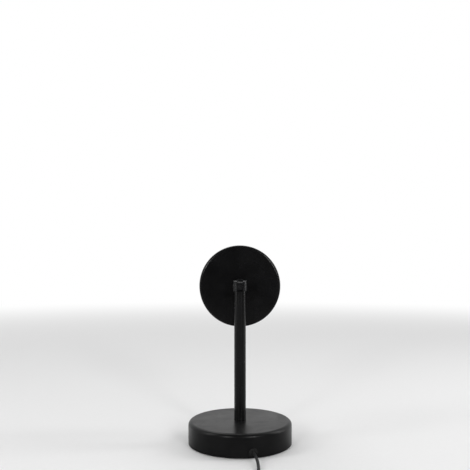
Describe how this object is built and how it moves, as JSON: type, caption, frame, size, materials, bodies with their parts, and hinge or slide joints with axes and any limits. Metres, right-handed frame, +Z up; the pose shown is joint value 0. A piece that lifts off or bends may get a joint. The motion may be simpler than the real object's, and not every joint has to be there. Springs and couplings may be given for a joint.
{
  "type": "sunset projection lamp",
  "caption": "Black table lamp with a round weighted base, a tube stem and a tilting drum head whose lens projects a warm disc of light.",
  "frame": {"origin": "middle of the base where it stands on the table", "axes": "+Z up along the stem, +Y the way the lens looks when the head is level, +X to the right seen from behind"},
  "size_m": [0.11, 0.2745, 0.2108],
  "materials": {
    "black_paint": "satin black paint",
    "black_plate": "black zinc plating, satin",
    "raw_iron": "as cast, grey",
    "black_plastic": "fine moulded grain",
    "white_plastic": "smooth",
    "foam_pad": "closed-cell foam",
    "black_rubber": "matt",
    "tie_strap": "woven hook and loop",
    "zinc_steel": "zinc plated",
    "dark_steel": "black oxide",
    "plug_steel": "nickel plated",
    "gold_strip": "gold flash",
    "cord_jacket": "satin PVC",
    "wire_jacket": "gloss",
    "lens_glass": "polished",
    "sunset_filter": "graded coating, orange to yellow",
    "reflector_plastic": "bright metallised",
    "ceramic_plate": "matt white",
    "phosphor": "matt yellow",
    "board_metal": "white solder mask on aluminium",
    "sink_metal": "as extruded",
    "board_laminate": "green solder mask",
    "ferrite": "matt",
    "can_metal": "brushed"
  },
  "bodies": {
    "stand": {"base_shell": "black_paint", "base_weight": "raw_iron", "base_cover": "black_plastic", "base_pad": "foam_pad", "cover_screws": "zinc_steel", "cord_grommet": "black_rubber", "cord_clamp": "black_plastic", "clamp_screws": "zinc_steel", "lead_in_base": "cord_jacket", "stem_nipple": "zinc_steel", "nipple_washer": "zinc_steel", "nipple_nut": "zinc_steel", "stem_tube": "black_paint", "knuckle_fork": "black_plate", "hinge_screw": "dark_steel", "hinge_nut": "dark_steel", "friction_washers": "white_plastic", "lead_to_coil": "cord_jacket", "lead_coil": "cord_jacket", "lead_coil_to_switch": "cord_jacket", "lead_switch_to_plug": "cord_jacket", "cord_tie": "tie_strap", "switch_top": "black_plastic", "switch_bottom": "black_plastic", "switch_screws": "zinc_steel", "switch_unit": "black_plastic", "plug_overmould": "cord_jacket", "plug_shell": "plug_steel", "plug_insulator": "white_plastic", "plug_contacts": "gold_strip"},
    "lamp_head": {"knuckle_tongue": "black_plate", "head_shell": "black_paint", "head_washer": "zinc_steel", "head_nut": "zinc_steel", "head_bezel": "black_paint", "bezel_screws": "dark_steel", "lens": "lens_glass", "lens_gasket": "black_rubber", "lens_ring": "black_plate", "lens_spacer": "black_plastic", "filter_holder": "black_plastic", "filter_glass": "sunset_filter", "reflector": "reflector_plastic", "led_emitter": "ceramic_plate", "led_phosphor": "phosphor", "led_board": "board_metal", "heat_sink": "sink_metal", "engine_screws": "zinc_steel", "driver_tape": "foam_pad", "driver_board": "board_laminate", "driver_terminal": "white_plastic", "driver_coil": "ferrite", "driver_capacitor": "can_metal", "lead_in_head": "cord_jacket", "led_wires": "wire_jacket"},
    "button": {"switch_button": "black_plastic"}
  },
  "joints": [
    {"name": "head_tilt", "type": "hinge", "parent": "stand", "child": "lamp_head", "pos_m": [0, 0, 0.1658], "axis": [1, 0, 0], "range_deg": [-15, 90]},
    {"name": "switch_press", "type": "slide", "parent": "stand", "child": "button", "axis": [0, 0, -1], "range_m": [0, 0.001], "stiffness_N_per_m": 1500, "springref_m": -0.0005}
  ]
}
